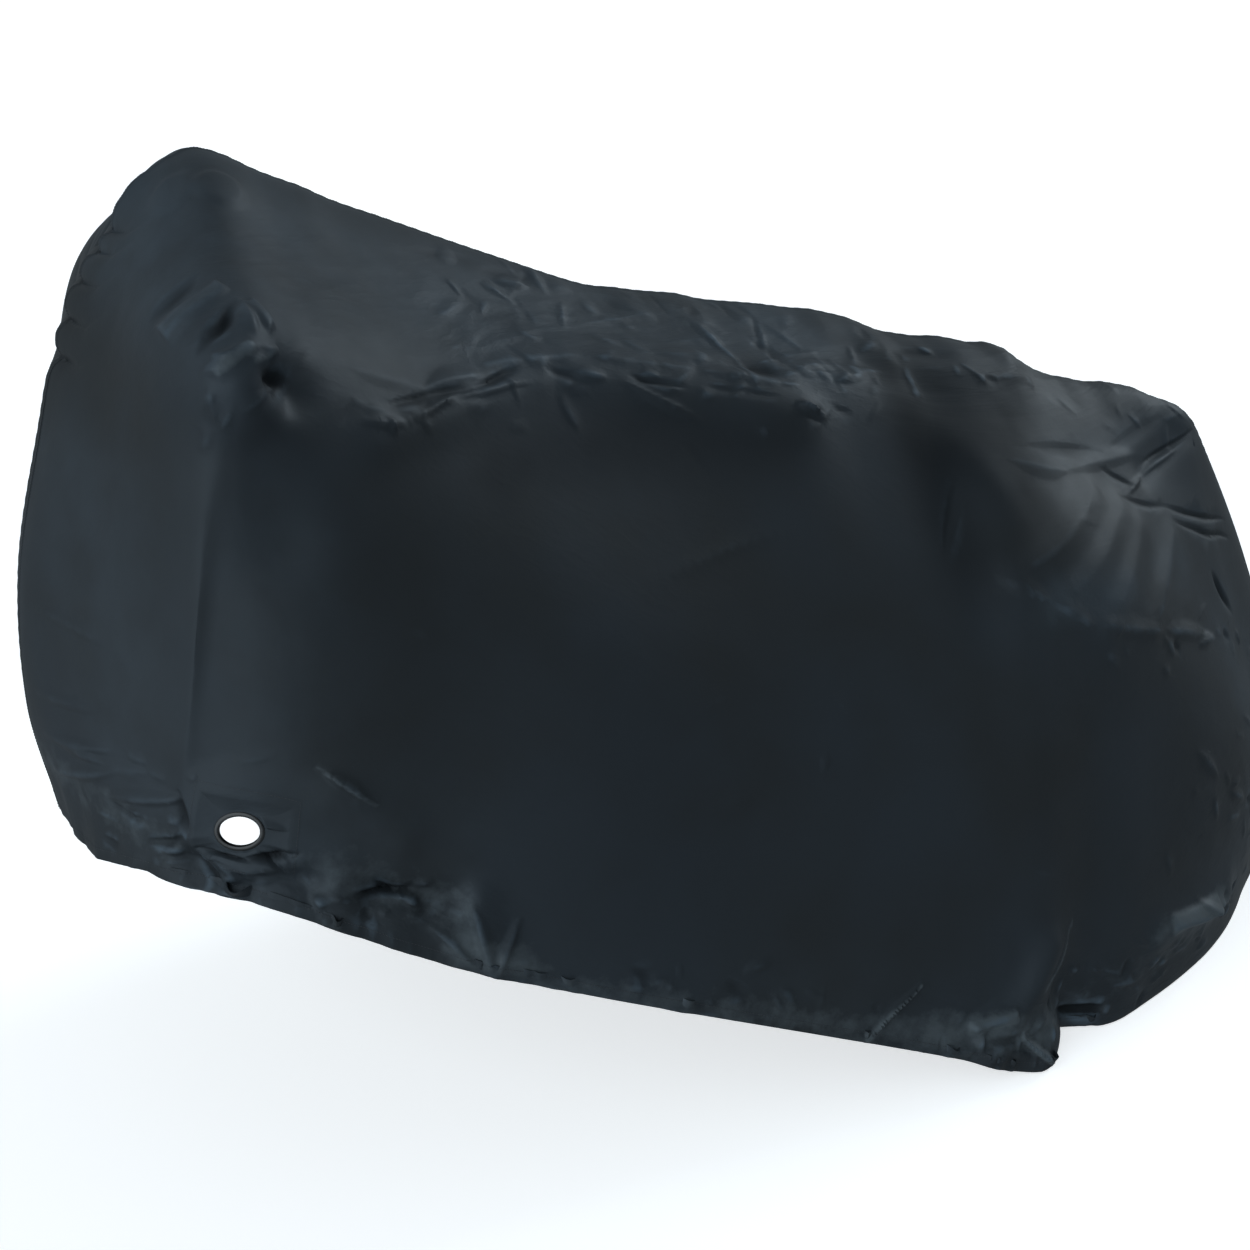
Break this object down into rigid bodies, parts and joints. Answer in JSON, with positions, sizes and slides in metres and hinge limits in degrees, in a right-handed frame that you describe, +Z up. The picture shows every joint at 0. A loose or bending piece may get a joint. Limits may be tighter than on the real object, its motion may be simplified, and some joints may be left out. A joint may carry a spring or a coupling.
{
  "type": "bicycle cover",
  "caption": "Draped black coated-cloth cover for bicycles, with a centre seam, gathered hem and a lock eyelet low on each side.",
  "frame": {"origin": "bottom centre of the cover's bounding box, on the ground under its middle", "axes": "+X to the rear of the bicycles it covers, +Y to its far side, +Z up"},
  "size_m": [2.0092, 1.004, 1.2447],
  "materials": {
    "coated_cloth": "near-black slate coated nylon, soft sheen with bluish glints on its creases",
    "eyelet_plastic": "black moulded plastic, satin"
  },
  "bodies": {
    "root": {"near_side_panel": "coated_cloth", "far_side_panel": "coated_cloth", "near_lock_patch": "coated_cloth", "far_lock_patch": "coated_cloth", "near_eyelet": "eyelet_plastic", "far_eyelet": "eyelet_plastic"}
  },
  "joints": []
}
